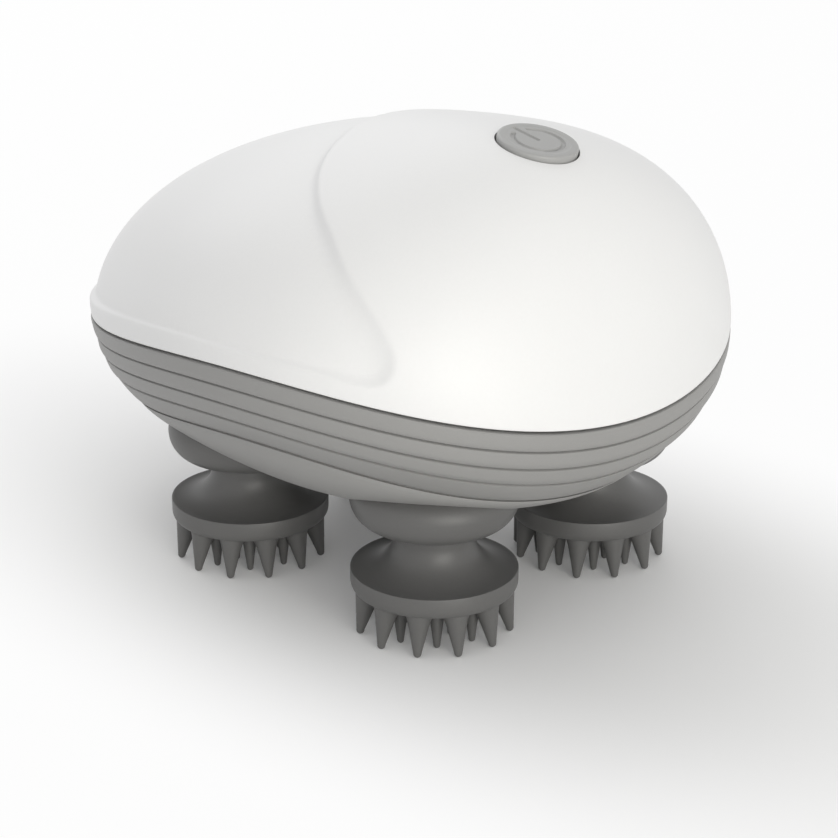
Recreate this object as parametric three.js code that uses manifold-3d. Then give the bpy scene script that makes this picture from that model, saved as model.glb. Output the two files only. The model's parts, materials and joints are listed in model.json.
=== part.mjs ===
// Handheld electric scalp massager: an egg-shaped two-part housing with a set-back tail,
// a stepped base, one sprung power button and four claw heads turned by a train of five gears.
// Millimetres, +Z up. The origin lies under the middle of the housing, level with the claw tips.
// +X points to the wide end (nose) and -X to the narrow end (tail).
import * as THREE from 'three';
import { mergeVertices } from 'three/addons/utils/BufferGeometryUtils.js';
import Module from 'manifold-3d';

const wasm = await Module();
wasm.setup();

// Housing outline and seam
const HALF_LENGTH = 57.05;
const HALF_WIDTH = 43.6;
const EGG = [0.333, 0.065, -0.005];
const SEAM_MID_Z = 42.85;
const SEAM_RISE = [9.17, -8.65, -7.57];
const SEAM_GAP = 0.4;
const WALL = 2.6;

// Dome of the upper housing
const TOP_Z = 73.1;
const CROWN_X = 0.4365 * HALF_LENGTH;
const DOME_ALONG = [1.865, 2.139];
const DOME_FULLER_NOSE = 0.33;
const DOME_ACROSS = [1.927, 1.765];
const FLANGE_HEIGHT = 4.5;
const RECESS_DEPTH = 1;
const RECESS_SWEEP = 138;
const RECESS_CURVE = [5.8, 2.13];
const RECESS_CREST = [0.95, -0.17, -0.098];

// Stepped base of the lower housing
const BASE_DEPTH = 33.1;
const BASE_CURVE = [2.402, 1.287];
const BASE_X = 0.5;
const RIB_DEPTHS = [2.95, 5.91, 9, 13.22];
const RIB_STEP = 0.35;
const RIB_LIP = 0.2;
const FLOOR_Z = 17;
const FLOOR_SHARE = 0.33;
const UNDERSIDE_CURVE = 1.67;

// Claw heads
const HEADS_X = 10.4;
const HEAD_PITCH_X = 40.5;
const HEAD_PITCH_Y = 37.44;
const HEAD_RADIUS = 12.72;
const CLAW_LENGTH = 6.7;
const RIM_HEIGHT = 3.2;
const RIM_EDGE = [0.66, 1.2];
const NECK_RADIUS = 6.1;
const NECK_Z = 14.9;
const STEM_TOP_Z = 19.6;
const OUTER_CLAWS = 12;
const OUTER_CLAW_REACH = 12.3;
const OUTER_CLAW_RADIUS = [1.68, 0.63];
const MIDDLE_CLAWS = 9;
const MIDDLE_CLAW_CIRCLE = 8.3;
const MIDDLE_CLAW_PHASE = -45;
const INNER_CLAWS = 6;
const INNER_CLAW_CIRCLE = 4.6;
const INNER_CLAW_PHASE = -15;
const INNER_CLAW_RADIUS = [1.13, 0.56];

// Cups round the head stems
const CUP_RADIUS = 12.8;
const CUP_WALL = 1.6;
const CUP_FLOOR_Z = 17.4;
const CUP_ROUND = [3.5, 4.15];
const CUP_TOP_Z = 30;

// Shafts, bushes and gears
const SHAFT_RADIUS = 2;
const SHAFT_ENGAGEMENT = 5.6;
const BUSH_WALL = 1.7;
const BUSH_FLANGE = 1.3;
const BUSH_FLANGE_HEIGHT = 0.8;
const BOSS_WALL = 1.8;
const SEAL_HEIGHT = 1.6;
const BOSS_FOOT_Z = [19.4, 22.8];
const BOSS_BOTTOM_Z = 20.4;
const BOSS_TOP_Z = 31.4;
const GEAR_TEETH = 18;
const GEAR_Z = 33.2;
const GEAR_FACE = 4.2;
const GEAR_HUB_RADIUS = 4.4;
const GEAR_HUB_HEIGHT = 1;
const PRESSURE_ANGLE = 20;
const BACKLASH = 0.22;
const MOTOR_SHAFT_RADIUS = 1.5;

// Chassis, motor and battery
const CHASSIS_Z = 39.2;
const CHASSIS_THICKNESS = 2;
const CHASSIS_INSET = 6.4;
const MOTOR_RADIUS = 8.5;
const MOTOR_HEIGHT = 18.5;
const MOTOR_CAP_RADIUS = 3;
const MOTOR_CAP_HEIGHT = 1.2;
const COLLAR_WALL = 1.8;
const COLLAR_HEIGHT = 7;
const EAR_REACH = 4.6;
const EAR_THICKNESS = 2;
const BATTERY_X = -0.22 * HALF_LENGTH;
const BATTERY_RADIUS = 7;
const BATTERY_CLEARANCE = 3;
const CRADLE_SHARE = 0.8;
const BATTERY_TERMINAL = 2.6;
const CRADLE_FLOOR = 1.6;
const CRADLE_WALL = 1.6;
const CRADLE_HEIGHT = 8;

// Power button, its seal, switch and board
const BUTTON_X = CROWN_X + 8.93;
const BUTTON_RADIUS = 6.1;
const BUTTON_TILT = 13;
const BUTTON_PROUD = 0.2;
const BUTTON_CHAMFER = 0.4;
const BUTTON_TRAVEL = 0.6;
const BUTTON_FLANGE = 0.9;
const BUTTON_STEM_RADIUS = 2;
const BUTTON_BOSS_WALL = 3.4;
const BUTTON_SEAL_THICKNESS = 0.8;
const SWITCH_SIZE = 6;
const SWITCH_BODY = 3.2;
const SWITCH_PLUNGER = [1.6, 1];
const BOARD_LENGTH = 21;
const BOARD_WIDTH = 24;
const BOARD_THICKNESS = 1.6;
const STANDOFF_RADIUS = 1.5;

// Charging socket, its board and plug
const PORT_Z = 26.8;
const SOCKET_WIDTH = 9;
const SOCKET_HEIGHT = 3.3;
const SOCKET_LENGTH = 7.2;
const SOCKET_WALL = 0.4;
const PLUG_WIDTH = 12.4;
const PLUG_HEIGHT = 5.6;
const PLUG_TONGUE = 3.2;
const PORT_DEPTH = 4.85;
const PORT_FLOOR_X = PORT_DEPTH - HALF_LENGTH;
const PORT_SEAT = [2.6, 17, 9.4];
const CHARGE_BOARD_LENGTH = 14;
const CHARGE_BOARD_WIDTH = 12.6;
const CHARGE_BOARD_THICKNESS = 1.2;

// Screws and posts
const POSTS = [[-29, -12], [-29, 12], [46, 0]];
const POST_RADIUS = 3.8;
const SCREW_RADIUS = 1.2;
const SCREW_HEAD_RADIUS = 2.4;
const SCREW_HEAD_HEIGHT = 1.6;
const SCREW_GRIP = 9;
const COUNTERBORE_Z = 28;

// Seam gasket
const GASKET_WIDTH = 1.1;
const GASKET_HEIGHT = 2;

// Clearances
const GAP = 0.3;
const RUNNING_FIT = 0.08;

// Facet counts and the finest detail kept
const TIDY = 0.02;
const TIDY_HOUSING = 0.09;
const TIDY_MOULDED = 0.05;
const AROUND = 40;
const INSIDE = 24;
const FINE = 18;
const ROUND = 16;
const BORE = 12;
const SMALL = 10;

const degrees = (angle) => THREE.MathUtils.degToRad(angle);

const MATERIALS = {
  shell: new THREE.MeshStandardMaterial({ color: 0xf0f0f0, roughness: 0.38, metalness: 0 }),
  base: new THREE.MeshStandardMaterial({ color: 0x9b9a98, roughness: 0.6, metalness: 0 }),
  silicone: new THREE.MeshStandardMaterial({ color: 0x5b5a59, roughness: 0.72, metalness: 0 }),
  button: new THREE.MeshStandardMaterial({ color: 0xa3a2a1, roughness: 0.5, metalness: 0 }),
  gasket: new THREE.MeshStandardMaterial({ color: 0x3c3c3c, roughness: 0.8, metalness: 0 }),
  steel: new THREE.MeshStandardMaterial({ color: 0xb9bcc0, roughness: 0.3, metalness: 1 }),
  bronze: new THREE.MeshStandardMaterial({ color: 0xb08a52, roughness: 0.45, metalness: 1 }),
  nylon: new THREE.MeshStandardMaterial({ color: 0xe6e1d2, roughness: 0.5, metalness: 0 }),
  frame: new THREE.MeshStandardMaterial({ color: 0x2e2f31, roughness: 0.6, metalness: 0 }),
  board: new THREE.MeshStandardMaterial({ color: 0x1f5a3a, roughness: 0.5, metalness: 0 }),
  cell: new THREE.MeshStandardMaterial({ color: 0x3f6fa8, roughness: 0.4, metalness: 0 }),
};

const part = new THREE.Group();

// Joining and cutting
function toSolid(geometry) {
  const bare = geometry.clone();
  bare.deleteAttribute('normal');
  bare.deleteAttribute('uv');
  const merged = mergeVertices(bare, 1e-4);
  return closeSolid(Array.from(merged.attributes.position.array), Array.from(merged.index.array));
}

function closeSolid(points, corners) {
  const kept = [];
  let volume = 0;
  const at = (corner) => new THREE.Vector3().fromArray(points, corner * 3);
  for (let i = 0; i < corners.length; i += 3) {
    const [a, b, c] = corners.slice(i, i + 3);
    if (a === b || b === c || c === a) continue;
    kept.push(a, b, c);
    volume += at(a).dot(at(b).cross(at(c)));
  }
  if (volume < 0) kept.reverse();
  return new wasm.Manifold(new wasm.Mesh({
    numProp: 3,
    vertProperties: Float32Array.from(points),
    triVerts: Uint32Array.from(kept),
  }));
}

function toGeometry(solid, tolerance) {
  const mesh = solid.simplify(tolerance).getMesh();
  const flat = new THREE.BufferGeometry();
  flat.setAttribute('position', new THREE.BufferAttribute(mesh.vertProperties, 3));
  flat.setIndex(new THREE.BufferAttribute(mesh.triVerts, 1));
  const geometry = flat.toNonIndexed();
  geometry.computeVertexNormals();
  return geometry;
}

function placed(solid, frame) {
  return frame ? solid.transform(frame.elements) : solid;
}

function add(name, solid, material, frame, tolerance = TIDY) {
  const mesh = new THREE.Mesh(toGeometry(placed(solid, frame), tolerance), MATERIALS[material].clone());
  mesh.name = name;
  part.add(mesh);
  return mesh;
}

// Basic solids
function rod(radius, from, to, sides = ROUND, x = 0, y = 0) {
  const geometry = new THREE.CylinderGeometry(radius, radius, to - from, sides);
  geometry.rotateX(Math.PI / 2);
  geometry.translate(x, y, (from + to) / 2);
  return toSolid(geometry);
}

function block(size, centre) {
  const geometry = new THREE.BoxGeometry(...size);
  geometry.translate(...centre);
  return toSolid(geometry);
}

function turned(profile, sides = FINE) {
  const geometry = new THREE.LatheGeometry(profile.map(([r, z]) => new THREE.Vector2(r, z)), sides);
  geometry.rotateX(Math.PI / 2);
  return toSolid(geometry);
}

function tube(outer, inner, from, to, sides = ROUND, x = 0, y = 0) {
  const margin = 1;
  return rod(outer, from, to, sides, x, y).subtract(rod(inner, from - margin, to + margin, sides, x, y));
}

// A rounded slab lying along X, seen end-on as a stadium of the given width and height
function stadiumAlongX(width, height, from, to, z) {
  const shape = new THREE.Shape();
  const straight = width / 2 - height / 2;
  shape.absarc(straight, 0, height / 2, -Math.PI / 2, Math.PI / 2, false);
  shape.absarc(-straight, 0, height / 2, Math.PI / 2, 3 * Math.PI / 2, false);
  const geometry = new THREE.ExtrudeGeometry(shape, { depth: to - from, bevelEnabled: false, curveSegments: 4 });
  geometry.rotateX(Math.PI / 2);
  geometry.rotateZ(Math.PI / 2);
  geometry.translate(from, 0, z);
  return toSolid(geometry);
}

// A skin through rings of equal count, closed by a fan at each end or joined end to end
function skin(rings, endless = false) {
  const count = rings[0].length;
  const points = rings.flat(2);
  const corners = [];
  const last = endless ? rings.length : rings.length - 1;
  for (let i = 0; i < last; i += 1) {
    for (let j = 0; j < count; j += 1) {
      const a = i * count + j;
      const b = i * count + (j + 1) % count;
      const c = ((i + 1) % rings.length) * count + j;
      const d = ((i + 1) % rings.length) * count + (j + 1) % count;
      corners.push(a, b, d, a, d, c);
    }
  }
  if (!endless) {
    [[0, 1], [rings.length - 1, 0]].forEach(([ring, flip]) => {
      const middle = [0, 1, 2].map((k) => rings[ring].reduce((sum, p) => sum + p[k], 0) / count);
      const centre = points.length / 3;
      points.push(...middle);
      for (let j = 0; j < count; j += 1) {
        const pair = [ring * count + j, ring * count + (j + 1) % count];
        corners.push(centre, pair[1 - flip === 1 ? 0 : 1], pair[1 - flip === 1 ? 1 : 0]);
      }
    });
  }
  return closeSolid(points, corners);
}

// Housing forms: u runs from -1 at the tail to 1 at the nose
const turn = (i, count = AROUND) => (2 * Math.PI * i) / count;
const seamZ = (u) => SEAM_MID_Z + SEAM_RISE[0] * u + SEAM_RISE[1] * u ** 2 + SEAM_RISE[2] * u ** 3;

function outline(angle, inset) {
  const u = Math.cos(angle);
  const egg = 1 + EGG[0] * u + EGG[1] * u ** 2 + EGG[2] * u ** 3;
  return { u, x: (HALF_LENGTH - inset) * u, y: (HALF_WIDTH - inset) * Math.sin(angle) * egg };
}

// A point of the dome at an angle round the outline and a share of the height above the seam
function domePoint(angle, share, inset = 0) {
  const { u, x, y } = outline(angle, inset);
  const along = Math.max(0, 1 - share ** DOME_ALONG[0]) ** (1 / (DOME_ALONG[1] + DOME_FULLER_NOSE * u));
  const across = Math.max(0, 1 - share ** DOME_ACROSS[0]) ** (1 / DOME_ACROSS[1]);
  const z = seamZ(u) * (1 - share) + (TOP_Z - inset) * share;
  return [x * along + CROWN_X * (1 - along), y * across, z];
}

function domeForm(inset, skirt, count, rows) {
  const ring = (share, drop) => Array.from({ length: count }, (_, i) => {
    const p = domePoint(turn(i, count), share, inset);
    return [p[0], p[1], p[2] - drop];
  });
  const rim = Array.from({ length: count }, (_, i) => {
    const { u, x, y } = outline(turn(i, count), inset + 3 * WALL);
    return [x, y, seamZ(u) - skirt];
  });
  const rings = [rim, ring(0, skirt)];
  if (skirt > 0) rings.push(ring(0, 0));
  for (let i = 1; i <= rows; i += 1) rings.push(ring(Math.sin((Math.PI / 2) * (i / rows) * 0.97), 0));
  return skin(rings);
}

// Share of the outline's size that is left at a depth below the seam
const baseShare = (depth) => (1 - (depth / BASE_DEPTH) ** BASE_CURVE[0]) ** BASE_CURVE[1];

function baseRing(depth, inset, lift, count) {
  const share = baseShare(Math.max(0, depth));
  return Array.from({ length: count }, (_, i) => {
    const { u, x, y } = outline(turn(i, count), inset);
    return [x * share + BASE_X * (1 - share), y * share, seamZ(u) - depth + lift];
  });
}

function undersideRing(fall, inset, lift, count) {
  const deepest = RIB_DEPTHS[RIB_DEPTHS.length - 1];
  const span = (1 - fall ** UNDERSIDE_CURVE) ** (1 / UNDERSIDE_CURVE);
  const share = FLOOR_SHARE + (baseShare(deepest) - FLOOR_SHARE) * span;
  return Array.from({ length: count }, (_, i) => {
    const { u, x, y } = outline(turn(i, count), inset);
    const z = (seamZ(u) - deepest) * (1 - fall) + FLOOR_Z * fall;
    return [x * share + BASE_X * (1 - share), y * share, z + lift];
  });
}

// The stepped outside: each band ends in a lip and the next starts a step further in
function baseForm(swell = 0) {
  const rings = [];
  rings.push(Array.from({ length: AROUND }, (_, i) => {
    const { u, x, y } = outline(turn(i), 3 * WALL - swell);
    return [x, y, seamZ(u) + swell];
  }));
  rings.push(baseRing(0, -swell, swell, AROUND));
  RIB_DEPTHS.forEach((depth) => {
    rings.push(baseRing(depth, -swell, -swell, AROUND));
    rings.push(baseRing(depth + RIB_LIP, RIB_STEP - swell, -swell, AROUND));
  });
  [0.2, 0.42, 0.64, 0.84, 1].forEach((fall) => {
    rings.push(undersideRing(fall, RIB_STEP * (1 - fall) - swell, -swell, AROUND));
  });
  return skin(rings);
}

function baseHollow() {
  const count = INSIDE;
  const rings = [baseRing(-8, WALL, 0, count), baseRing(0, WALL, 0, count)];
  const inner = RIB_STEP + WALL;
  RIB_DEPTHS.slice(1).forEach((depth) => rings.push(baseRing(depth - 0.3 * WALL, inner, 0, count)));
  [0.3, 0.65, 1].forEach((fall) => rings.push(undersideRing(fall, inner, WALL, count)));
  return skin(rings);
}

// A band that follows the seam, between two insets and two heights about it
function seamBand(outerInset, innerInset, from, to) {
  const rings = Array.from({ length: AROUND }, (_, i) => {
    const outer = outline(turn(i), outerInset);
    const inner = outline(turn(i), innerInset);
    const z = seamZ(outer.u);
    return [[outer.x, outer.y, z + from], [outer.x, outer.y, z + to],
      [inner.x, inner.y, z + to], [inner.x, inner.y, z + from]];
  });
  return skin(rings, true);
}

// The set-back tail: the space between the dome and its inset copy, inside the S-shaped edge
function recessCutter() {
  const columns = 24;
  const rows = 4;
  const spread = 0.992;
  const outside = -2;
  const layer = (inset) => Array.from({ length: columns + 1 }, (_, i) => {
    const reach = Math.sin((Math.PI / 2) * (2 * i / columns - 1)) * spread;
    const angle = Math.PI + degrees(RECESS_SWEEP) * reach;
    const foot = FLANGE_HEIGHT / (TOP_Z - seamZ(Math.cos(angle)));
    const closing = (1 - Math.abs(reach) ** RECESS_CURVE[0]) ** (1 / RECESS_CURVE[1]);
    const level = RECESS_CREST[0] + RECESS_CREST[1] * reach ** 2 + RECESS_CREST[2] * reach ** 4;
    const crest = Math.max(foot + 0.01, closing * level);
    return Array.from({ length: rows + 1 }, (__, j) => domePoint(angle, foot + (crest - foot) * (j / rows), inset));
  });
  const outer = layer(outside);
  const inner = layer(RECESS_DEPTH);
  return skin(outer.map((column, i) => [...column, ...inner[i].toReversed()]));
}

// Button frame: its origin lies on the crown line and its Z leans to the nose
function crownZ(x) {
  const share = (x - CROWN_X) / (HALF_LENGTH - CROWN_X);
  const height = (1 - share ** (DOME_ALONG[1] + DOME_FULLER_NOSE)) ** (1 / DOME_ALONG[0]);
  return seamZ(1) * (1 - height) + TOP_Z * height;
}

const buttonFrame = new THREE.Matrix4()
  .makeTranslation(BUTTON_X, 0, crownZ(BUTTON_X))
  .multiply(new THREE.Matrix4().makeRotationY(degrees(BUTTON_TILT)));

// Depths below the button's place, in its own frame
const boreRadius = BUTTON_RADIUS + GAP;
const flangeRadius = boreRadius + BUTTON_FLANGE;
const sag = 0.9;
const flangeTop = -(WALL + sag + GAP);
const flangeBottom = flangeTop - 0.9;
const stemBottom = flangeBottom - 2;
const sealTop = flangeBottom - BUTTON_TRAVEL - GAP;
const sealRadius = flangeRadius + 1.2;
const bossBottom = sealTop - BUTTON_SEAL_THICKNESS - GAP;
const plungerTop = stemBottom - BUTTON_TRAVEL - GAP;
const boardTop = plungerTop - SWITCH_PLUNGER[1] - SWITCH_BODY - GAP;
const bossRadius = boreRadius + BUTTON_BOSS_WALL;

const chassisTop = CHASSIS_Z + CHASSIS_THICKNESS;

function upperHousing() {
  const dome = domeForm(0, -SEAM_GAP / 2, AROUND, 10);
  let shell = dome.subtract(domeForm(WALL, 5, INSIDE, 5)).subtract(recessCutter());
  const within = domeForm(WALL / 2, 0, INSIDE, 5);
  POSTS.forEach(([x, y]) => {
    const boss = tube(POST_RADIUS, SCREW_RADIUS + GAP, chassisTop + GAP, TOP_Z, SMALL, x, y);
    const stop = rod(POST_RADIUS, chassisTop + SCREW_GRIP, TOP_Z, SMALL, x, y);
    shell = shell.add(boss.add(stop).intersect(within));
  });
  const seat = placed(rod(bossRadius, bossBottom, 0, ROUND), buttonFrame).intersect(within);
  shell = shell.add(seat);
  [45, 135, 225, 315].forEach((angle) => {
    const r = bossRadius - STANDOFF_RADIUS;
    const x = r * Math.cos(degrees(angle));
    const y = r * Math.sin(degrees(angle));
    shell = shell.add(placed(rod(STANDOFF_RADIUS, boardTop + GAP, bossBottom + 1, 8, x, y), buttonFrame));
  });
  shell = shell.subtract(placed(rod(boreRadius, flangeTop - 1, 6, ROUND), buttonFrame));
  shell = shell.subtract(placed(rod(flangeRadius + GAP, sealTop - 0.1, flangeTop + GAP, ROUND), buttonFrame));
  shell = shell.subtract(placed(rod(sealRadius + GAP, bossBottom - 1, sealTop + GAP, ROUND), buttonFrame));
  return shell.subtract(seamBand(GASKET_SEAT, 2 * WALL, -GASKET_REACH, GASKET_REACH));
}

const GASKET_SEAT = WALL - GASKET_WIDTH - GAP;
const GASKET_REACH = GASKET_HEIGHT / 2 + GAP;

const headPlaces = [[-1, -1], [1, -1], [1, 1], [-1, 1]].map(([i, j]) => (
  [HEADS_X + (i * HEAD_PITCH_X) / 2, (j * HEAD_PITCH_Y) / 2]));

const bushInner = SHAFT_RADIUS + RUNNING_FIT;
const bushOuter = bushInner + BUSH_WALL;
const bossOuter = bushOuter + GAP + BOSS_WALL;
const cupInner = CUP_RADIUS - CUP_WALL;
const stemHole = NECK_RADIUS + GAP + 0.1;

function lowerHousing() {
  const outside = baseForm();
  let shell = outside.subtract(baseHollow());
  const above = 60;
  headPlaces.forEach(([x, y]) => {
    shell = shell.add(rod(bossOuter, BOSS_BOTTOM_Z, BOSS_TOP_Z, BORE, x, y));
    shell = shell.add(rod(stemHole + BOSS_WALL, ...BOSS_FOOT_Z, BORE, x, y));
  });
  POSTS.forEach(([x, y]) => {
    shell = shell.add(rod(POST_RADIUS, FLOOR_Z, CHASSIS_Z - GAP, SMALL, x, y).intersect(outside.add(
      rod(POST_RADIUS, SEAM_MID_Z - 10, above, SMALL, x, y))));
  });
  chargePosts.forEach(([x, y]) => {
    shell = shell.add(rod(STANDOFF_RADIUS, FLOOR_Z, chargeBoardZ - GAP, 8, x, y).intersect(outside));
  });
  shell = shell.add(block(PORT_SEAT, [PORT_FLOOR_X + PORT_SEAT[0] / 2, 0, PORT_Z]).intersect(outside));
  headPlaces.forEach(([x, y]) => {
    shell = shell.subtract(rod(bushOuter + GAP, BOSS_BOTTOM_Z - 1, above, BORE, x, y));
    shell = shell.subtract(rod(stemHole, 0, BOSS_BOTTOM_Z, BORE, x, y));
  });
  POSTS.forEach(([x, y]) => {
    shell = shell.subtract(rod(SCREW_RADIUS + GAP, 0, above, SMALL, x, y));
    shell = shell.subtract(rod(SCREW_HEAD_RADIUS + GAP, 0, COUNTERBORE_Z, SMALL, x, y));
  });
  const far = HALF_LENGTH + 5;
  shell = shell.subtract(stadiumAlongX(PLUG_WIDTH + 2 * GAP, PLUG_HEIGHT + 2 * GAP, -far, PORT_FLOOR_X, PORT_Z));
  shell = shell.subtract(stadiumAlongX(SOCKET_WIDTH + 2 * GAP, SOCKET_HEIGHT + 2 * GAP, -far,
    PORT_FLOOR_X + 6, PORT_Z));
  return shell.subtract(seamBand(GASKET_SEAT, 2 * WALL, -GASKET_REACH, GASKET_REACH));
}

// Charging socket behind the tail, with its small board
const socketMouthX = PORT_FLOOR_X + GAP + 0.6;
const chargeBoardZ = PORT_Z - SOCKET_HEIGHT / 2 - GAP - CHARGE_BOARD_THICKNESS;
const chargeBoardX = socketMouthX + 4.2;
const chargePosts = [[2.2, -4.4], [2.2, 4.4], [11.5, -4.4], [11.5, 4.4]].map(([x, y]) => [chargeBoardX + x, y]);

function chargingSocket() {
  const shell = stadiumAlongX(SOCKET_WIDTH, SOCKET_HEIGHT, socketMouthX, socketMouthX + SOCKET_LENGTH, PORT_Z);
  const cavity = stadiumAlongX(SOCKET_WIDTH - 2 * SOCKET_WALL, SOCKET_HEIGHT - 2 * SOCKET_WALL,
    socketMouthX - 1, socketMouthX + SOCKET_LENGTH - 1, PORT_Z);
  return shell.subtract(cavity);
}

function portPlug() {
  const faceBack = PORT_FLOOR_X - GAP;
  const face = stadiumAlongX(PLUG_WIDTH, PLUG_HEIGHT, -HALF_LENGTH, faceBack, PORT_Z).intersect(baseForm(-GAP));
  const play = 2 * (SOCKET_WALL + GAP);
  const tongue = stadiumAlongX(SOCKET_WIDTH - play, SOCKET_HEIGHT - play, faceBack - 0.2, faceBack + PLUG_TONGUE, PORT_Z);
  return face.add(tongue);
}

// One claw: a skewed cone from a root circle to a rounded tip
function claw(rootX, tipX, radii, sides) {
  const [root, tip] = radii;
  const sink = 1.2;
  const ring = (x, z, r) => Array.from({ length: sides }, (_, i) => (
    [x + r * Math.cos(turn(i, sides)), r * Math.sin(turn(i, sides)), z]));
  return skin([ring(rootX, CLAW_LENGTH + sink, root), ring(tipX, 0, tip)]);
}

function massageHead() {
  const rimTop = CLAW_LENGTH + RIM_HEIGHT;
  const [edgeIn, edgeUp] = RIM_EDGE;
  const profile = [[0, CLAW_LENGTH], [HEAD_RADIUS - edgeIn, CLAW_LENGTH],
    [HEAD_RADIUS - 0.3 * edgeIn, CLAW_LENGTH + 0.3 * edgeUp], [HEAD_RADIUS, CLAW_LENGTH + edgeUp],
    [HEAD_RADIUS, rimTop]];
  const steps = 3;
  const rise = NECK_Z - rimTop;
  const fall = HEAD_RADIUS - NECK_RADIUS;
  for (let i = 1; i <= steps; i += 1) {
    const angle = (Math.PI / 2) * (i / steps);
    profile.push([HEAD_RADIUS - fall * Math.sin(angle), rimTop + rise * (1 - Math.cos(angle))]);
  }
  profile.push([NECK_RADIUS, STEM_TOP_Z], [0, STEM_TOP_Z]);
  let head = turned(profile, FINE);
  const ringOf = (count, phase, form) => {
    for (let i = 0; i < count; i += 1) head = head.add(form.rotate([0, 0, phase + (360 * i) / count]));
  };
  const [root, tip] = OUTER_CLAW_RADIUS;
  ringOf(OUTER_CLAWS, 0, claw(OUTER_CLAW_REACH - root, OUTER_CLAW_REACH - tip, OUTER_CLAW_RADIUS, 5));
  ringOf(MIDDLE_CLAWS, MIDDLE_CLAW_PHASE, claw(MIDDLE_CLAW_CIRCLE, MIDDLE_CLAW_CIRCLE, INNER_CLAW_RADIUS, 4));
  ringOf(INNER_CLAWS, INNER_CLAW_PHASE, claw(INNER_CLAW_CIRCLE, INNER_CLAW_CIRCLE, INNER_CLAW_RADIUS, 4));
  return head.subtract(rod(SHAFT_RADIUS + GAP, STEM_TOP_Z - SHAFT_ENGAGEMENT, STEM_TOP_Z + 1, SMALL));
}

// A cup whose rounded floor lets the stem through and whose rim meets the base
function cup() {
  const steps = 4;
  const [roundIn, roundUp] = CUP_ROUND;
  const corner = CUP_RADIUS - roundIn;
  const quarter = (across, up, floor) => Array.from({ length: steps + 1 }, (_, i) => {
    const angle = (Math.PI / 2) * (i / steps);
    return [corner + across * Math.sin(angle), floor + up * (1 - Math.cos(angle))];
  });
  const outer = quarter(roundIn, roundUp, CUP_FLOOR_Z);
  const inner = quarter(roundIn - CUP_WALL, roundUp - CUP_WALL, CUP_FLOOR_Z + CUP_WALL).reverse();
  const profile = [[stemHole, CUP_FLOOR_Z], ...outer, [CUP_RADIUS, CUP_TOP_Z], [cupInner, CUP_TOP_Z],
    ...inner, [stemHole, CUP_FLOOR_Z + CUP_WALL], [stemHole, CUP_FLOOR_Z]];
  return turned(profile, FINE);
}

// Involute gear with its hub and bore
const gearPitchRadius = Math.hypot(HEAD_PITCH_X, HEAD_PITCH_Y) / 4;
const gearModule = (2 * gearPitchRadius) / GEAR_TEETH;

function gear(bore) {
  const base = gearPitchRadius * Math.cos(degrees(PRESSURE_ANGLE));
  const tip = gearPitchRadius + 0.95 * gearModule;
  const root = gearPitchRadius - 1.2 * gearModule;
  const involute = (r) => {
    const angle = Math.acos(base / r);
    return Math.tan(angle) - angle;
  };
  const halfTooth = Math.PI / (2 * GEAR_TEETH) - BACKLASH / (2 * gearPitchRadius);
  const atPitch = involute(gearPitchRadius);
  const flank = [root, gearPitchRadius, tip];
  const points = [];
  for (let i = 0; i < GEAR_TEETH; i += 1) {
    const middle = turn(i, GEAR_TEETH);
    const rising = flank.map((r) => [r, middle - halfTooth - atPitch + involute(Math.max(r, base))]);
    const falling = flank.map((r) => [r, middle + halfTooth + atPitch - involute(Math.max(r, base))]).reverse();
    [...rising, ...falling].forEach(([r, angle]) => {
      points.push(new THREE.Vector2(r * Math.cos(angle), r * Math.sin(angle)));
    });
  }
  const geometry = new THREE.ExtrudeGeometry(new THREE.Shape(points), { depth: GEAR_FACE, bevelEnabled: false });
  geometry.translate(0, 0, GEAR_Z);
  const hubTop = GEAR_Z + GEAR_FACE + GEAR_HUB_HEIGHT;
  return toSolid(geometry).add(rod(GEAR_HUB_RADIUS, GEAR_Z + 1, hubTop, SMALL))
    .subtract(rod(bore, GEAR_Z - 1, hubTop + 1, SMALL));
}

// Chassis plate between the two housings
function chassis() {
  const shape = new THREE.Shape();
  for (let i = 0; i < AROUND / 2; i += 1) {
    const { x, y } = outline(turn(i, AROUND / 2), CHASSIS_INSET);
    if (i === 0) shape.moveTo(x, y);
    else shape.lineTo(x, y);
  }
  const geometry = new THREE.ExtrudeGeometry(shape, { depth: CHASSIS_THICKNESS, bevelEnabled: false });
  geometry.translate(0, 0, CHASSIS_Z);
  let plate = toSolid(geometry);
  const hole = (radius, x, y) => {
    plate = plate.subtract(rod(radius, CHASSIS_Z - 1, chassisTop + 1, SMALL, x, y));
  };
  headPlaces.forEach(([x, y]) => hole(SHAFT_RADIUS + GAP, x, y));
  POSTS.forEach(([x, y]) => hole(SCREW_RADIUS + GAP, x, y));
  hole(MOTOR_SHAFT_RADIUS + GAP, HEADS_X, 0);
  return plate;
}

// Geared motor on the chassis, held by a collar with two ears
const motorZ = chassisTop + GAP;

function motor() {
  return rod(MOTOR_RADIUS, motorZ, motorZ + MOTOR_HEIGHT, ROUND, HEADS_X)
    .add(rod(MOTOR_CAP_RADIUS, motorZ + 1, motorZ + MOTOR_HEIGHT + MOTOR_CAP_HEIGHT, SMALL, HEADS_X));
}

const earY = MOTOR_RADIUS + GAP + COLLAR_WALL + EAR_REACH / 2;

function motorCollar() {
  const inner = MOTOR_RADIUS + GAP;
  const collar = rod(inner + COLLAR_WALL, motorZ, motorZ + COLLAR_HEIGHT, ROUND, HEADS_X);
  const ears = block([2 * EAR_REACH, 2 * earY + EAR_REACH, EAR_THICKNESS], [HEADS_X, 0, motorZ + EAR_THICKNESS / 2]);
  let solid = collar.add(ears).subtract(rod(inner, motorZ - 1, motorZ + COLLAR_HEIGHT + 1, ROUND, HEADS_X));
  [-earY, earY].forEach((y) => {
    solid = solid.subtract(rod(SCREW_RADIUS, motorZ - 1, motorZ + EAR_THICKNESS + 1, SMALL, HEADS_X, y));
  });
  return solid;
}

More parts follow.
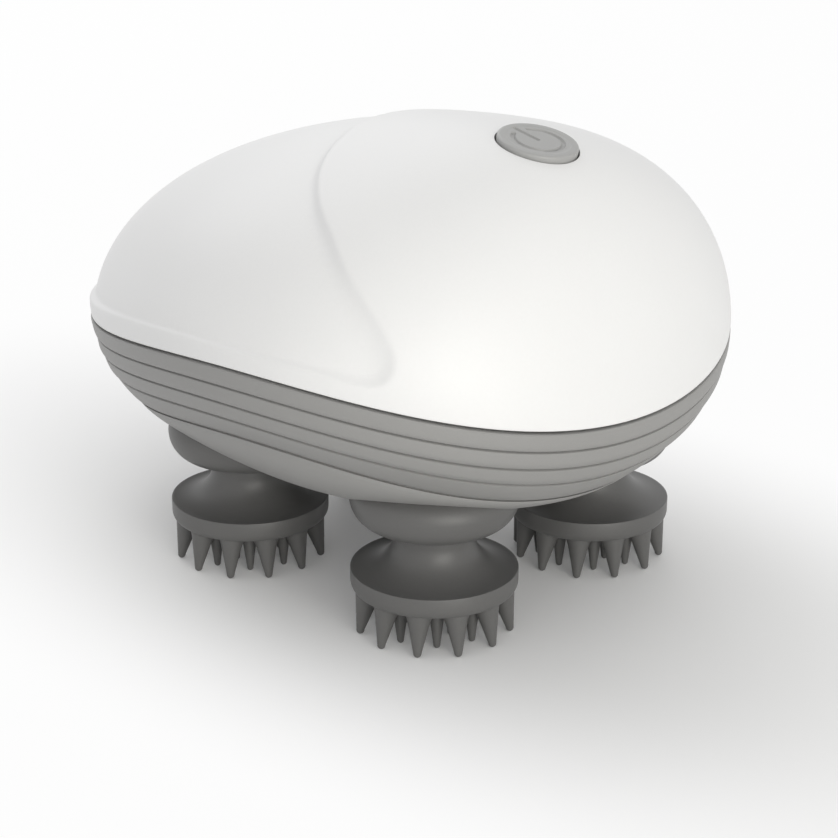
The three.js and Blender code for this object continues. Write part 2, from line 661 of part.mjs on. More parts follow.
function motorScrew(y) {
  const top = motorZ + EAR_THICKNESS;
  return rod(SCREW_RADIUS - GAP, motorZ, top + GAP + 0.2, SMALL, HEADS_X, y)
    .add(rod(SCREW_HEAD_RADIUS - 0.4, top + GAP, top + GAP + SCREW_HEAD_HEIGHT, SMALL, HEADS_X, y));
}

// Battery lying across the tail half, in a cradle with two side walls
const batteryZ = motorZ + CRADLE_FLOOR + GAP + BATTERY_RADIUS;

// Half width left inside the dome at a height over a place on the long axis
function domeHalfWidth(x, z) {
  let angle = Math.PI / 2;
  let y = 0;
  for (let i = 0; i < 6; i += 1) {
    const share = (z - seamZ(Math.cos(angle))) / (TOP_Z - WALL - seamZ(Math.cos(angle)));
    const rim = domePoint(angle, share, WALL);
    angle += (rim[0] - x) / (HALF_LENGTH * Math.sin(angle));
    [, y] = rim;
  }
  return y;
}

const shoulder = BATTERY_RADIUS * Math.SQRT1_2;
const batteryLength = 2 * (domeHalfWidth(BATTERY_X - shoulder, batteryZ + shoulder) - BATTERY_CLEARANCE);

function battery() {
  const cell = rod(BATTERY_RADIUS, -batteryLength / 2, batteryLength / 2, ROUND)
    .add(rod(BATTERY_TERMINAL, 0, batteryLength / 2 + 1, SMALL));
  return cell.rotate([90, 0, 0]).translate([BATTERY_X, 0, batteryZ]);
}

function batteryCradle() {
  const width = 2 * (BATTERY_RADIUS + GAP + CRADLE_WALL);
  const length = CRADLE_SHARE * batteryLength;
  const outer = block([width, length, CRADLE_HEIGHT], [BATTERY_X, 0, motorZ + CRADLE_HEIGHT / 2]);
  const bed = rod(BATTERY_RADIUS + GAP, -batteryLength, batteryLength, ROUND)
    .rotate([90, 0, 0]).translate([BATTERY_X, 0, batteryZ]);
  return outer.subtract(bed);
}

// Button parts, in the button's own frame
function powerButton() {
  const profile = [[0, stemBottom], [BUTTON_STEM_RADIUS, stemBottom], [BUTTON_STEM_RADIUS, flangeBottom],
    [flangeRadius, flangeBottom], [flangeRadius, flangeTop], [BUTTON_RADIUS, flangeTop],
    [BUTTON_RADIUS, BUTTON_PROUD - BUTTON_CHAMFER], [BUTTON_RADIUS - BUTTON_CHAMFER, BUTTON_PROUD],
    [0, BUTTON_PROUD]];
  return turned(profile, ROUND);
}

function housingScrew([x, y]) {
  const bottom = COUNTERBORE_Z - GAP - SCREW_HEAD_HEIGHT;
  return rod(SCREW_HEAD_RADIUS, bottom, COUNTERBORE_Z - GAP, SMALL, x, y)
    .add(rod(SCREW_RADIUS, bottom + 0.5, chassisTop + SCREW_GRIP - GAP, SMALL, x, y));
}

// Assembly
add('upper_housing', upperHousing(), 'shell', null, TIDY_HOUSING);
add('lower_housing', lowerHousing(), 'base', null, TIDY_HOUSING);
add('seam_gasket', seamBand(GASKET_SEAT + GAP, WALL, -GASKET_HEIGHT / 2, GASKET_HEIGHT / 2), 'gasket');
POSTS.forEach((place, i) => add(`housing_screw_${i + 1}`, housingScrew(place), 'steel'));

add('power_button', powerButton(), 'button', buttonFrame);
add('button_seal', tube(sealRadius, BUTTON_STEM_RADIUS + GAP, sealTop - BUTTON_SEAL_THICKNESS, sealTop),
  'silicone', buttonFrame);
add('tact_switch', block([SWITCH_SIZE, SWITCH_SIZE, SWITCH_BODY], [0, 0, boardTop + GAP + SWITCH_BODY / 2])
  .add(rod(SWITCH_PLUNGER[0], boardTop + GAP + 1, plungerTop, SMALL)), 'frame', buttonFrame);
add('control_board', block([BOARD_LENGTH, BOARD_WIDTH, BOARD_THICKNESS],
  [0, 0, boardTop - BOARD_THICKNESS / 2]), 'board', buttonFrame);

add('chassis', chassis(), 'frame');
add('gear_motor', motor(), 'steel');
add('motor_collar', motorCollar(), 'frame');
[-earY, earY].forEach((y, i) => add(`motor_screw_${i + 1}`, motorScrew(y), 'steel'));
add('battery', battery(), 'cell');
add('battery_cradle', batteryCradle(), 'frame');

add('charging_socket', chargingSocket(), 'steel');
add('charging_board', block([CHARGE_BOARD_LENGTH, CHARGE_BOARD_WIDTH, CHARGE_BOARD_THICKNESS],
  [chargeBoardX + CHARGE_BOARD_LENGTH / 2, 0, chargeBoardZ + CHARGE_BOARD_THICKNESS / 2]), 'board');
add('port_plug', portPlug(), 'silicone');

// The drive gear's teeth start on +X, and each output gear is turned so that its gaps meet them
add('drive_gear', gear(MOTOR_SHAFT_RADIUS + GAP).translate([HEADS_X, 0, 0]), 'nylon', null, TIDY_MOULDED);
add('motor_shaft', rod(MOTOR_SHAFT_RADIUS, GEAR_Z - 1, motorZ - GAP, SMALL, HEADS_X), 'steel');

const cupForm = cup();
const headForm = massageHead();
const gearForm = gear(SHAFT_RADIUS + GAP);
const baseSwollen = baseForm(GAP);
const bushTop = BOSS_TOP_Z + GAP + BUSH_FLANGE_HEIGHT;
const sealBottom = BOSS_BOTTOM_Z;
const bushBottom = sealBottom + SEAL_HEIGHT + GAP;

headPlaces.forEach(([x, y], i) => {
  const n = i + 1;
  const at = (solid) => solid.translate([x, y, 0]);
  const towards = THREE.MathUtils.radToDeg(Math.atan2(y, x - HEADS_X));
  const mesh = 2 * towards + 180 + 180 / GEAR_TEETH;
  add(`massage_head_${n}`, at(headForm), 'silicone', null, TIDY_MOULDED);
  add(`seal_cup_${n}`, at(cupForm).subtract(baseSwollen), 'silicone', null, TIDY_MOULDED);
  add(`output_shaft_${n}`, at(rod(SHAFT_RADIUS, STEM_TOP_Z - SHAFT_ENGAGEMENT + GAP, chassisTop, ROUND)), 'steel');
  add(`shaft_seal_${n}`, at(tube(bushOuter, SHAFT_RADIUS + GAP, sealBottom, sealBottom + SEAL_HEIGHT, SMALL)), 'gasket');
  add(`shaft_bush_${n}`, at(tube(bushOuter, bushInner, bushBottom, BOSS_TOP_Z + GAP + 0.1, ROUND)
    .add(tube(bushOuter + BUSH_FLANGE, bushInner, BOSS_TOP_Z + GAP, bushTop, ROUND))), 'bronze');
  add(`output_gear_${n}`, at(gearForm.rotate([0, 0, mesh])), 'nylon', null, TIDY_MOULDED);
});

export default part;
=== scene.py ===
"""Electric scalp massager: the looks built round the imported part, in metres, +Z up, +X to the wide end."""
import json
import math

import bmesh
import bpy
import numpy as np
from mathutils import Matrix, Vector


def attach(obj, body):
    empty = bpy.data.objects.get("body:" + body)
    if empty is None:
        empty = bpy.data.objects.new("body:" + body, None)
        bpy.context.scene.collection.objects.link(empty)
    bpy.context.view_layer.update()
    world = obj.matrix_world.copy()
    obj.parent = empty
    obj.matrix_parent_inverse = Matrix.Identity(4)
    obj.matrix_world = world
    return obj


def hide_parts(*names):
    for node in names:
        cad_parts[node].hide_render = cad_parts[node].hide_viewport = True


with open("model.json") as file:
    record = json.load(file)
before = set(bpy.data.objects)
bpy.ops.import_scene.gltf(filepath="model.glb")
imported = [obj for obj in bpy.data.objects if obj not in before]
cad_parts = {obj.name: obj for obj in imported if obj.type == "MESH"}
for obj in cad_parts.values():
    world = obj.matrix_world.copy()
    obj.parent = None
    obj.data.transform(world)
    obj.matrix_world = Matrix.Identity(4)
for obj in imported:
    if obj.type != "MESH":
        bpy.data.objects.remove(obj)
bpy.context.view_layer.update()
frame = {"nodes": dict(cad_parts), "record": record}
MM = 0.001

# Sizes in millimetres, as in the solid model or worked out from its own. The plan and the seam are cubics
# in u, the cosine of the angle round the plan, and ALONG, ACROSS and the two curves are exponents
HALF_LENGTH, HALF_WIDTH = 57.05, 43.6
EGG = (0.333, 0.065, -0.005)
SEAM = (42.85, 9.17, -8.65, -7.57)
SEAM_GAP = 0.4
WALL = 2.6
TOP, CROWN_X = 73.1, 24.9
ALONG, FULLER_NOSE, ACROSS = (1.865, 2.139), 0.33, (1.927, 1.765)
RECESS_DEPTH = 1.0
BASE_DEPTH, BASE_CURVE, BASE_X = 33.1, (2.402, 1.287), 0.5
BANDS = (2.95, 5.91, 9.0, 13.22)
FLOOR, FLOOR_SHARE, UNDERSIDE_CURVE = 17.0, 0.33, 1.67
HEADS_X, PITCH_X, PITCH_Y = 10.4, 40.5, 37.44
HEADS = [(HEADS_X + i * PITCH_X / 2, j * PITCH_Y / 2) for i, j in ((-1, -1), (1, -1), (1, 1), (-1, 1))]
HEAD_RADIUS, HEAD_EDGE, CLAW_LENGTH = 12.72, (0.66, 1.2), 6.7
NECK_RADIUS, NECK_Z, RIM_TOP, STEM_TOP = 6.1, 14.9, 9.9, 19.6
CUP_RADIUS, CUP_WALL, CUP_FLOOR, CUP_ROUND = 12.8, 1.6, 17.4, (3.5, 4.15)
BUTTON_X, BUTTON_TILT, BUTTON_RADIUS, BUTTON_PROUD, BUTTON_CHAMFER = 33.83, 13.0, 6.1, 0.2, 0.4
SCREWS, WELL_RADIUS, WELL_TOP = ((-29, -12), (-29, 12), (46, 0)), 2.7, 27.9
PORT_Z, PORT_FLOOR = 26.8, -52.2
PLUG_FACE, PLUG_TONGUE, PLUG_REACH = (12.4, 5.6), (7.6, 1.9), 3.2

# Millimetres that only the looks have: the skins swell over the tail, the base's only near the seam, and
# the flange above the seam leans in
TAIL_SWELL, BASE_SWELL, FLANGE_TUCK = 0.8, 0.55, 0.45
SWELL_X, SWELL_RUN, SWELL_FADE = 20, 28, 6
# The edge of the set-back tail: the turn from the tail in degrees, the share of the dome's height, and the
# width over which the surface sinks; over the crest, down the side to the tip and back along the flange
RECESS_EDGE = (
    (0, 0.95, 1.8), (30, 0.944, 1.8), (58.9, 0.923, 1.8), (74.7, 0.891, 1.8), (85, 0.855, 1.9),
    (94.7, 0.807, 2.0), (103.9, 0.745, 2.1), (113.9, 0.658, 2.4), (119.7, 0.581, 2.7), (124.9, 0.497, 3.0),
    (128.3, 0.437, 3.2), (131.4, 0.374, 3.4), (133.6, 0.316, 3.5), (135, 0.263, 3.5), (135.5, 0.21, 3.4),
    (135.2, 0.162, 3.2), (134, 0.118, 2.8), (131.6, 0.092, 2.3), (128, 0.09, 1.8), (124.2, 0.098, 1.4),
    (120, 0.103, 1.0), (108.5, 0.101, 0.6), (89.6, 0.106, 0.6), (68.6, 0.1, 0.7), (50, 0.08, 1.1),
    (25, 0.06, 1.4), (0, 0.056, 1.4))
# On the sides the set-back is shallower just above the flange: the turns where that starts and ends with
# the degrees over which each fades, the share of the dome's height that it takes, and how much it takes off
SHALLOW_FROM, SHALLOW_TO, SHALLOW_SHARE, SHALLOWER = (45, 35), (136, 22), 0.16, 0.5
# Roundings of the recess's edge and of the shell's lip at the seam. The shell's skin is one sheet over run,
# from -1 at the inner crown to 1 at the outer: where the inside starts, and how far the seam's gap fades
RECESS_CORNER, SHELL_LIP = 0.25, 0.25
INNER_RUN, GAP_RUN = 0.02, 0.2
# How far each band starts inside the line of the lip above it, the height and depth of the groove between
# them, and the height and rounding of each lip
BAND_STEP = 0.25
GROOVES = ((0.3, 0.7), (0.35, 0.74), (0.46, 0.86), (0.26, 0.42))
BAND_LIP = (0.9, 0.32)
# Rings of claws: how many, their reach from the axis, the first one's angle, the radii at root and tip, and
# whether their outer side stands upright at that reach
CLAW_RINGS = ((12, 12.3, 0, (1.98, 0.62), True), (9, 8.3, -45, (1.3, 0.52), False),
              (6, 4.6, -15, (1.3, 0.52), False))
# The flare at a claw's root, the cup's shoulder as width and height with where it starts and how high the
# collar goes, the gaps round the stems and the button, and how proud the plug stands and rounds its rim
CLAW_FLARE = 0.42
CUP_SHOULDER, SHOULDER_Z, COLLAR_TOP = (4.5, 3.4), 21.6, 30
STEM_GAP, BORE_GAP = 0.4, 0.28
PLUG_PROUD, PLUG_RIM = 0.3, 0.45
# How many points go round each shape
BASE_SIDES, CUP_SIDES, HEAD_SIDES, CLAW_SIDES = 360, 180, 120, 20
BUTTON_SIDES, PLUG_SIDES, PORT_SIDES = 240, 72, 32


# Node trees
class Value:
    """A socket of a node tree, on which sums, differences and products can be written."""

    def __init__(self, tree, socket):
        self.tree, self.socket = tree, socket

    def maths(self, operation, *values):
        node = self.tree.nodes.new("ShaderNodeMath")
        node.operation = operation
        for slot, value in zip(node.inputs, values):
            if isinstance(value, Value):
                self.tree.links.new(value.socket, slot)
            else:
                slot.default_value = value
        return Value(self.tree, node.outputs[0])

    def __add__(self, other):
        return self.maths("ADD", self, other)

    __radd__ = __add__

    def __sub__(self, other):
        return self.maths("SUBTRACT", self, other)

    def __rsub__(self, other):
        return self.maths("SUBTRACT", other, self)

    def __mul__(self, other):
        return self.maths("MULTIPLY", self, other)

    __rmul__ = __mul__


class Finish:
    """A material: one Principled shader whose constants are set on its own sockets."""

    def __init__(self, name, **constants):
        self.material = bpy.data.materials.new(name)
        self.material.use_nodes = True
        self.tree = self.material.node_tree
        self.shader = self.tree.nodes["Principled BSDF"]
        for key, value in constants.items():
            self.shader.inputs[key.replace("_", " ")].default_value = value
        self.place = self.node("ShaderNodeTexCoord")["Object"]

    def node(self, kind, settings=None, **inputs):
        """Adds a node, with its settings first, then the values or links of its sockets."""
        node = self.tree.nodes.new(kind)
        for key, value in (settings or {}).items():
            setattr(node, key, value)
        sockets = {socket.name: socket for socket in node.inputs if socket.enabled}
        for key, value in inputs.items():
            self.join(sockets[key.replace("_", " ")], value)
        return {out.name: Value(self.tree, out) for out in node.outputs if out.enabled}

    def join(self, socket, value):
        if isinstance(value, Value):
            self.tree.links.new(value.socket, socket)
        else:
            socket.default_value = value

    def grain(self, size, detail=2.0, stretch=(1, 1, 1)):
        """Noise from 0 to 1 whose lumps are about size millimetres across."""
        place = self.node("ShaderNodeMapping", Vector=self.place, Scale=stretch)["Vector"]
        return self.node("ShaderNodeTexNoise", Vector=place, Scale=1 / (size * MM), Detail=detail)["Fac"]

    def shades(self, amount, dark, light):
        """A colour between two, by an amount from 0 to 1."""
        return self.node("ShaderNodeMix", {"data_type": "RGBA", "clamp_factor": True},
                         Factor=amount, A=(*dark, 1), B=(*light, 1))["Result"]

    def relief(self, height, depth):
        """Bumps the surface by a height from 0 to 1, depth millimetres deep."""
        bump = self.node("ShaderNodeBump", Height=height, Distance=depth * MM, Strength=1.0)["Normal"]
        self.join(self.shader.inputs["Normal"], bump)

    def colour(self, value):
        self.join(self.shader.inputs["Base Color"], value)

    def gloss(self, value):
        self.join(self.shader.inputs["Roughness"], value)


def moulded(name, dark, light, roughness, spread, grain, depth, **more):
    """Moulded plastic or rubber: fine grain in the relief and a faint cloudiness in shade and gloss."""
    finish = Finish(name, **more)
    fine, broad = finish.grain(grain, 3.0), finish.grain(18.0, 1.0)
    finish.colour(finish.shades(0.55 * fine + 0.45 * broad, dark, light))
    finish.gloss(roughness + spread * (fine - 0.5) + 0.5 * spread * (broad - 0.5))
    finish.relief(fine, depth)
    return finish.material


def metal(name, dark, light, roughness, stretch):
    """Turned or drawn metal: fine streaks along one way in shade, gloss and relief."""
    finish = Finish(name, Metallic=1.0)
    streak = finish.grain(0.5, 4.0, stretch)
    finish.colour(finish.shades(streak, dark, light))
    finish.gloss(roughness + 0.18 * (streak - 0.5))
    finish.relief(streak, 0.01)
    return finish.material


def board_finish():
    """Circuit board: green solder mask with faint copper tracks under it."""
    finish = Finish("board_finish", Coat_Weight=0.3)
    white, black = (1, 1, 1, 1), (0, 0, 0, 1)
    track = finish.node("ShaderNodeTexBrick", {"offset": 0.5}, Vector=finish.place, Scale=160.0,
                        Mortar_Size=0.12, Color1=white, Color2=white, Mortar=black)["Fac"]
    finish.colour(finish.shades(track, (0.012, 0.1, 0.045), (0.03, 0.2, 0.08)))
    finish.gloss(0.34 + 0.1 * finish.grain(0.8))
    finish.relief(track, 0.03)
    return finish.material


# By slot. Moulded: dark and light shade, roughness and its spread, size of grain and depth of relief in
# millimetres. Metal: dark and light shade, roughness, and the grain's stretch along X, Y and Z
FINISHES = {
    "shell": moulded("shell_finish", (0.765, 0.765, 0.765), (0.805, 0.805, 0.805), 0.46, 0.06, 0.5, 0.004,
                     Coat_Weight=0.06, Coat_Roughness=0.4),
    "base": moulded("base_finish", (0.259, 0.256, 0.251), (0.299, 0.296, 0.29), 0.52, 0.1, 0.28, 0.012),
    "silicone": moulded("silicone_finish", (0.093, 0.092, 0.09), (0.118, 0.117, 0.115), 0.44, 0.1, 0.35,
                        0.01),
    "button": moulded("button_finish", (0.33, 0.33, 0.325), (0.365, 0.365, 0.36), 0.42, 0.08, 0.25, 0.006),
    "gasket": moulded("gasket_finish", (0.02, 0.02, 0.02), (0.04, 0.04, 0.04), 0.7, 0.1, 0.3, 0.01),
    "nylon": moulded("nylon_finish", (0.7, 0.66, 0.55), (0.78, 0.74, 0.62), 0.45, 0.1, 0.6, 0.01),
    "frame": moulded("frame_finish", (0.022, 0.022, 0.024), (0.04, 0.04, 0.042), 0.5, 0.15, 0.4, 0.015),
    "cell": moulded("cell_finish", (0.03, 0.11, 0.32), (0.05, 0.15, 0.4), 0.28, 0.1, 6.0, 0.01,
                    Coat_Weight=0.4),
    "steel": metal("steel_finish", (0.5, 0.51, 0.53), (0.62, 0.63, 0.65), 0.3, (1, 1, 0.1)),
    "bronze": metal("bronze_finish", (0.36, 0.22, 0.08), (0.48, 0.3, 0.12), 0.38, (0.2, 0.2, 1)),
    "board": board_finish(),
}


# Meshes
def weave(rows, columns, closed=True):
    """Quads joining a grid of points row by row, each row closed to a ring unless told otherwise."""
    r, c = np.meshgrid(np.arange(rows - 1), np.arange(columns if closed else columns - 1), indexing="ij")
    here, after = r * columns, (c + 1) % columns
    return np.stack([here + c, here + after, here + columns + after, here + columns + c], -1).reshape(-1, 4)


def mesh_from(name, points, quads):
    """A mesh of points in millimetres and quads, with doubles merged and faces turned outwards."""
    mesh = bpy.data.meshes.new(name)
    mesh.vertices.add(len(points))
    mesh.vertices.foreach_set("co", (np.asarray(points, float) * MM).ravel())
    mesh.loops.add(quads.size)
    mesh.loops.foreach_set("vertex_index", quads.ravel())
    mesh.polygons.add(len(quads))
    mesh.polygons.foreach_set("loop_start", np.arange(0, quads.size, 4))
    mesh.update(calc_edges=True)
    settle(mesh)
    return mesh


def settle(mesh, crease=32):
    """Merges doubles, turns faces outwards and smooths all but edges sharper than crease degrees."""
    double, sliver = 0.004 * MM, 0.001 * MM
    work = bmesh.new()
    work.from_mesh(mesh)
    bmesh.ops.remove_doubles(work, verts=work.verts, dist=double)
    bmesh.ops.dissolve_degenerate(work, edges=work.edges, dist=sliver)
    bmesh.ops.recalc_face_normals(work, faces=work.faces)
    work.to_mesh(mesh)
    work.free()
    mesh.polygons.foreach_set("use_smooth", np.ones(len(mesh.polygons), bool))
    mesh.set_sharp_from_angle(angle=math.radians(crease))


def piece(name, mesh, body, slot, *stands_for):
    """Puts a mesh in the scene as a piece that rides on a body and stands for CAD nodes."""
    obj = bpy.data.objects.new(name, mesh)
    bpy.context.scene.collection.objects.link(obj)
    mesh.materials.clear()
    mesh.materials.append(FINISHES[slot])
    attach(obj, body)
    if stands_for:
        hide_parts(*stands_for)


def cut(mesh, *cutters):
    """Takes the cutters' meshes out of a mesh."""
    host = bpy.data.objects.new("host", mesh)
    bpy.context.scene.collection.objects.link(host)
    tools = []
    for cutter in cutters:
        tool = bpy.data.objects.new("cutter", cutter)
        bpy.context.scene.collection.objects.link(tool)
        tools.append(tool)
        change = host.modifiers.new("cut", "BOOLEAN")
        change.operation, change.solver, change.object = "DIFFERENCE", "EXACT", tool
    result = bpy.data.meshes.new_from_object(host.evaluated_get(bpy.context.evaluated_depsgraph_get()))
    for obj in (host, *tools):
        bpy.data.objects.remove(obj)
    settle(result)
    return result


def turned(profile, columns, x=0.0, y=0.0):
    """Points of a profile of (radius, height) turned once round a vertical axis at x, y."""
    profile = np.asarray(profile, float)
    angle = np.linspace(0, 2 * np.pi, columns, endpoint=False)
    ring = np.stack([np.cos(angle), np.sin(angle)], -1)
    flat = profile[:, None, :1] * ring[None] + (x, y)
    high = np.broadcast_to(profile[:, 1, None, None], (*flat.shape[:2], 1))
    return np.concatenate([flat, high], -1)


def cylinder(name, radius, low, high, columns, x=0.0, y=0.0):
    """An upright cylinder between two heights, to cut with."""
    points = turned([(0, low), (radius, low), (radius, high), (0, high)], columns, x, y)
    return mesh_from(name, points.reshape(-1, 3), weave(*points.shape[:2]))


def arc(centre, radii, degrees):
    """Points of (radius, height) on an ellipse round a centre, at angles in degrees up from outwards."""
    return [(centre[0] + radii[0] * math.cos(a), centre[1] + radii[1] * math.sin(a))
            for a in np.radians(degrees)]


def middle(ring):
    """A ring shrunk to its middle, to close an end."""
    return np.broadcast_to(ring.mean(0), ring.shape)


def smoothstep(x):
    x = np.clip(x, 0, 1)
    return x * x * (3 - 2 * x)


# Housing forms
def seam_z(u):
    return SEAM[0] + SEAM[1] * u + SEAM[2] * u ** 2 + SEAM[3] * u ** 3


def egg(u):
    return 1 + EGG[0] * u + EGG[1] * u ** 2 + EGG[2] * u ** 3


def outline(angle, inset=0.0):
    """The egg-shaped plan: x = a cos, y = b sin times a cubic in cos, with a and b less an inset."""
    u = np.cos(angle)
    return u, (HALF_LENGTH - inset) * u, (HALF_WIDTH - inset) * np.sin(angle) * egg(u)


def dome(angle, share, inset=0.0):
    """The dome: the outline shrinks to the crown by superellipse arcs as share goes from 0 to 1."""
    u, x, y = outline(angle, inset)
    along = (1 - share ** ALONG[0]).clip(0) ** (1 / (ALONG[1] + FULLER_NOSE * u))
    across = (1 - share ** ACROSS[0]).clip(0) ** (1 / ACROSS[1])
    return np.stack([x * along + CROWN_X * (1 - along), y * across,
                     seam_z(u) * (1 - share) + (TOP - inset) * share], -1)


def dome_normal(angle, share):
    """The outward normal of the dome by small steps in angle and share, straight up at the crown."""
    step, none = 1e-4, 1e-12
    low, high = np.clip(share - step, 0, 1), np.clip(share + step, 0, 1)
    run = dome(angle + step, share) - dome(angle - step, share)
    rise = dome(angle, high) - dome(angle, low)
    normal = np.cross(run, rise)
    length = np.linalg.norm(normal, axis=-1, keepdims=True)
    return np.where(length > none, normal / np.maximum(length, none), (0, 0, 1))


def swell(x, most):
    """How far a skin stands out beyond the plain form: nothing at the nose, most over the tail."""
    return most * smoothstep((SWELL_X - x) / SWELL_RUN)


def base_swell(x, depth):
    """The base's swell, which fades out below the seam."""
    return swell(x, BASE_SWELL) * np.clip(1 - depth / SWELL_FADE, 0, 1) ** 2


def skin_dome(angle, share):
    """The dome with its swell, along the normal."""
    points = dome(angle, share)
    return points + dome_normal(angle, share) * swell(points[..., :1], TAIL_SWELL)


def through(knots, steps=24):
    """A Catmull-Rom curve through the knots, evenly stepped between each two."""
    p = np.asarray(knots, float)
    p = np.concatenate([2 * p[:1] - p[1:2], p, 2 * p[-1:] - p[-2:-1]])
    a, b, c, d = p[:-3, None], p[1:-2, None], p[2:-1, None], p[3:, None]
    t = (np.arange(steps) / steps)[None, :, None]
    curve = b + 0.5 * t * (c - a + t * (2 * a - 5 * b + 4 * c - d + t * (3 * b - a - 3 * c + d)))
    return np.concatenate([curve.reshape(-1, p.shape[1]), p[-2:-1]])


def climb(run):
    """The share of the dome's height at a run from 0 to 1, in steps that shorten towards the crown."""
    return np.sin(np.pi / 2 * np.clip(run, 0, 1))


def recess_inside(angle, share):
    """Signed distance in millimetres into the set-back tail, the sinking width there, the depth and the
    share at the flange's top: the edge is one closed curve on the dome, the distance is square to its
    nearest point, and the depth eases off near the flange on the sides."""
    half = through(RECESS_EDGE)
    edge = np.concatenate([half, half[-2:0:-1] * (-1, 1, 1)])
    line = skin_dome(np.radians(180 + edge[:, 0]), edge[:, 1])
    along = np.roll(line, -1, 0) - np.roll(line, 1, 0)
    along /= np.linalg.norm(along, axis=1, keepdims=True)
    points = skin_dome(angle, share)
    nearest = np.concatenate([((block[:, None] - line[None]) ** 2).sum(-1).argmin(1)
                              for block in np.array_split(points, max(1, len(points) // 3000))])
    away = points - line[nearest]
    distance = np.sqrt(np.maximum((away ** 2).sum(1) - (away * along[nearest]).sum(1) ** 2, 0))
    turn = np.abs(np.degrees(angle % (2 * np.pi)) - 180)
    tip = half[:, 0].argmax()
    upper = np.interp(turn, half[:tip + 1, 0], half[:tip + 1, 1])
    lower = np.interp(turn, half[:tip - 1:-1, 0], half[:tip - 1:-1, 1])
    inside = (turn < half[tip, 0]) & (share < upper) & (share > lower)
    side = smoothstep((turn - SHALLOW_FROM[0]) / SHALLOW_FROM[1])
    side = side * smoothstep((SHALLOW_TO[0] - turn) / SHALLOW_TO[1])
    depth = RECESS_DEPTH * (1 - SHALLOWER * side * np.exp(-((share - lower) / SHALLOW_SHARE) ** 2))
    return np.where(inside, distance, -distance), edge[nearest, 2], depth, lower


def shell_point(angle, run):
    """The white shell as one closed skin: run goes from -1 at the inner crown, through the lip at 0,
    to 1 at the outer crown. Inside the recess edge the outside sinks along a parabola, below it the
    flange's face leans in towards the seam, and at the seam it rounds over a small lip."""
    share = climb(run)
    outside = skin_dome(angle, share)
    inside, width, depth, ledge = recess_inside(angle, share)
    inside = (inside + np.sqrt(inside ** 2 + RECESS_CORNER ** 2)) / 2
    inset = depth * (1 - (1 - np.clip(inside / width, 0, 1)) ** 2)
    inset += swell(outside[:, 0], FLANGE_TUCK) * np.clip(1 - share / ledge, 0, 1)
    above = np.clip(outside[:, 2] - seam_z(np.cos(angle)), 0, SHELL_LIP)
    inset = inset + SHELL_LIP - np.sqrt(np.maximum(SHELL_LIP ** 2 - (SHELL_LIP - above) ** 2, 0))
    outside = outside - dome_normal(angle, share) * inset[:, None]
    within = dome(angle, climb((-run - INNER_RUN) / (1 - INNER_RUN)), WALL)
    points = np.where((run >= 0)[:, None], outside, within)
    points[:, 2] += SEAM_GAP / 2 * np.clip(1 - np.abs(run) / GAP_RUN, 0, 1)
    return points


def shell_mesh():
    """The shell's skin: a flat sheet in (angle, run), its quads halved twice near the recess edge, within
    fewer millimetres the second time, then bent to shape."""
    edge_shift, first_run = 0.2, 0.03
    lip_rows = [0, 0.0012, 0.003, 0.0055, 0.009, 0.014, 0.022]
    rows = np.concatenate([-np.linspace(1, INNER_RUN, 30), lip_rows, np.linspace(0.032, 1, 74)])
    columns = np.linspace(0, 2 * np.pi, 169)
    run, angle = np.meshgrid(rows, columns, indexing="ij")
    flat = np.stack([angle, run, np.zeros_like(run)], -1).reshape(-1, 3)
    sheet = bmesh.new()
    plane = bpy.data.meshes.new("sheet")
    plane.from_pydata(flat.tolist(), [], weave(len(rows), len(columns), closed=False).tolist())
    sheet.from_mesh(plane)
    for reach in (2.4, 1.3):
        place = np.array([v.co[:2] for v in sheet.verts])
        inside = recess_inside(place[:, 0], climb(place[:, 1]))[0]
        near = (np.abs(inside - edge_shift) < reach) & (place[:, 1] > first_run)
        ends = np.array([[e.verts[0].index, e.verts[1].index] for e in sheet.edges])
        chosen = near[ends].all(1)
        sheet.edges.ensure_lookup_table()
        bmesh.ops.subdivide_edges(sheet, edges=[sheet.edges[i] for i in np.flatnonzero(chosen)],
                                  cuts=1, use_grid_fill=True)
        sheet.verts.index_update()
    bmesh.ops.triangulate(sheet, faces=[f for f in sheet.faces if len(f.verts) > 4])
    place = np.array([v.co[:2] for v in sheet.verts])
    sheet.to_mesh(plane)
    sheet.free()
    plane.vertices.foreach_set("co", (shell_point(place[:, 0], place[:, 1]) * MM).ravel())
    plane.update()
    settle(plane, crease=60)
    return plane


def base_share(depth):
    return (1 - (depth / BASE_DEPTH) ** BASE_CURVE[0]) ** BASE_CURVE[1]


def base_point(angle, depth, fall, inset):
    """The base: the outline shrinks with depth below the seam, then with its fall to the floor."""
    u, x, y = outline(angle, inset)
    last = BANDS[-1]
    span = (1 - fall ** UNDERSIDE_CURVE).clip(0) ** (1 / UNDERSIDE_CURVE)
    under = FLOOR_SHARE + (base_share(last) - FLOOR_SHARE) * span
    share = np.where(fall > 0, under, base_share(np.maximum(depth, 0)))
    high = np.where(fall > 0, (seam_z(u) - last) * (1 - fall) + FLOOR * fall, seam_z(u) - depth)
    normal = dome_normal(angle, np.zeros_like(angle))
    out = np.where(fall > 0, 0, base_swell(x, depth))
    return np.stack([x * share + BASE_X * (1 - share) + normal[..., 0] * out,
                     y * share + normal[..., 1] * out, high], -1)


